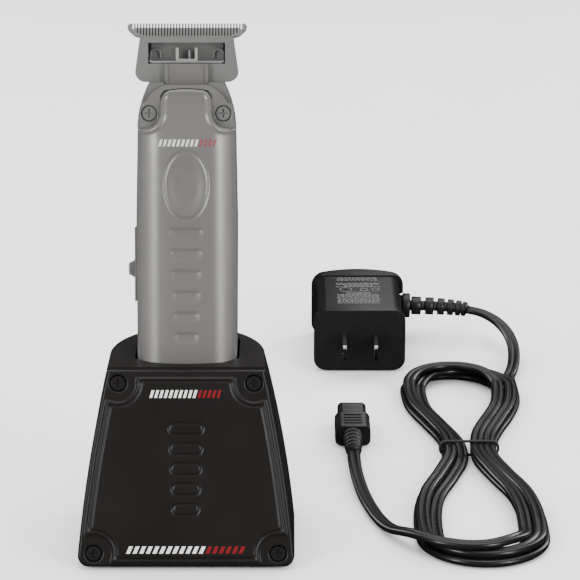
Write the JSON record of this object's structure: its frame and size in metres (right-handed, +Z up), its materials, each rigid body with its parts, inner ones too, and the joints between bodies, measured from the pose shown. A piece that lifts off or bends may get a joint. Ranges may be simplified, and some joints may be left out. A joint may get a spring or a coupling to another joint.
{
  "type": "hair clipper with charging stand",
  "caption": "Cordless T-blade hair clipper docked in a leaning charging stand, with its wall adapter and a tied hank of twin lead.",
  "frame": {"origin": "centre of the footprint of the stand with the docked clipper, on the table under the feet", "axes": "+Z up, -Y towards the user who looks at the stand's leaning face, +X to that user's right"},
  "size_m": [0.1685, 0.2493, 0.1751],
  "materials": {
    "satin_grey": "satin metallic grey lacquer",
    "dark_metal": "dark grey satin",
    "blade_steel": "ground steel",
    "bright_steel": "polished",
    "stand_black": "satin black moulding",
    "matt_black": "fine matt black",
    "lead_black": "soft glossy cord jacket",
    "relief_black": "moulded soft black",
    "adapter_black": "gloss black moulding",
    "foot_rubber": "matt",
    "contact_gold": "gold plated",
    "prong_metal": "nickel plated",
    "yoke_white": "natural nylon",
    "cell_wrap": "shrink wrap",
    "board_green": "solder mask",
    "winding": "tape and winding",
    "ballast_iron": "raw"
  },
  "bodies": {
    "stand": {"stand_housing": "stand_black", "stand_front_plate": "stand_black", "front_plate_screws": "stand_black", "stand_base_plate": "matt_black", "base_plate_screws": "bright_steel", "rubber_feet": "foot_rubber", "socket_liner": "matt_black", "contact_spring_left": "bright_steel", "contact_spring_right": "bright_steel", "contact_board": "board_green", "stand_inlet": "matt_black", "stand_inlet_pins": "contact_gold", "ballast_weight": "ballast_iron", "adapter_body": "adapter_black", "adapter_cap": "adapter_black", "adapter_prong_plate": "adapter_black", "adapter_prongs": "prong_metal", "adapter_board": "board_green", "adapter_transformer": "winding", "adapter_capacitor": "cell_wrap", "adapter_strain_relief": "relief_black", "lead_adapter_run": "lead_black", "lead_hank": "lead_black", "hank_tie": "matt_black", "lead_connector_run": "lead_black", "connector_strain_relief": "relief_black", "connector_body": "adapter_black", "connector_contacts": "contact_gold"},
    "clipper": {"front_cover": "satin_grey", "rear_cover": "satin_grey", "end_cap": "matt_black", "end_cap_screws": "bright_steel", "chassis": "satin_grey", "chassis_screws": "dark_metal", "neck_cover": "satin_grey", "blade_frame": "dark_metal", "fixed_blade": "blade_steel", "blade_screws": "bright_steel", "tension_spring": "bright_steel", "motor_can": "prong_metal", "motor_bracket": "matt_black", "battery_cell": "cell_wrap", "battery_tabs": "prong_metal", "circuit_board": "board_green", "charge_contacts": "contact_gold", "switch_plate": "dark_metal", "clipper_inlet": "matt_black", "clipper_inlet_pins": "contact_gold"},
    "blade": {"moving_blade": "blade_steel", "drive_block": "yoke_white"},
    "rotor": {"motor_shaft": "bright_steel", "eccentric_cam": "bright_steel"},
    "switch": {"switch_slider": "satin_grey"},
    "pin_left": {"contact_pin_left": "contact_gold"},
    "pin_right": {"contact_pin_right": "contact_gold"}
  },
  "joints": [
    {"name": "clipper_lift", "type": "slide", "parent": "stand", "child": "clipper", "axis": [0, 0.2419, 0.9703], "range_m": [0, 0.05]},
    {"name": "blade_stroke", "type": "slide", "parent": "clipper", "child": "blade", "axis": [1, 0, 0], "range_m": [-0.001, 0.001]},
    {"name": "motor_spin", "type": "hinge", "parent": "clipper", "child": "rotor", "pos_m": [0, 0.01919, 0.12201], "axis": [0, 0.2419, 0.9703], "continuous": true},
    {"name": "switch_slide", "type": "slide", "parent": "clipper", "child": "switch", "axis": [0, 0.2419, 0.9703], "range_m": [0, 0.005]},
    {"name": "contact_left_press", "type": "slide", "parent": "stand", "child": "pin_left", "axis": [0, 0.2419, 0.9703], "range_m": [-0.001, 0], "stiffness_N_per_m": 300, "springref_m": 0.001, "deforming": ["contact_spring_left"]},
    {"name": "contact_right_press", "type": "slide", "parent": "stand", "child": "pin_right", "axis": [0, 0.2419, 0.9703], "range_m": [-0.001, 0], "stiffness_N_per_m": 300, "springref_m": 0.001, "deforming": ["contact_spring_right"]}
  ]
}
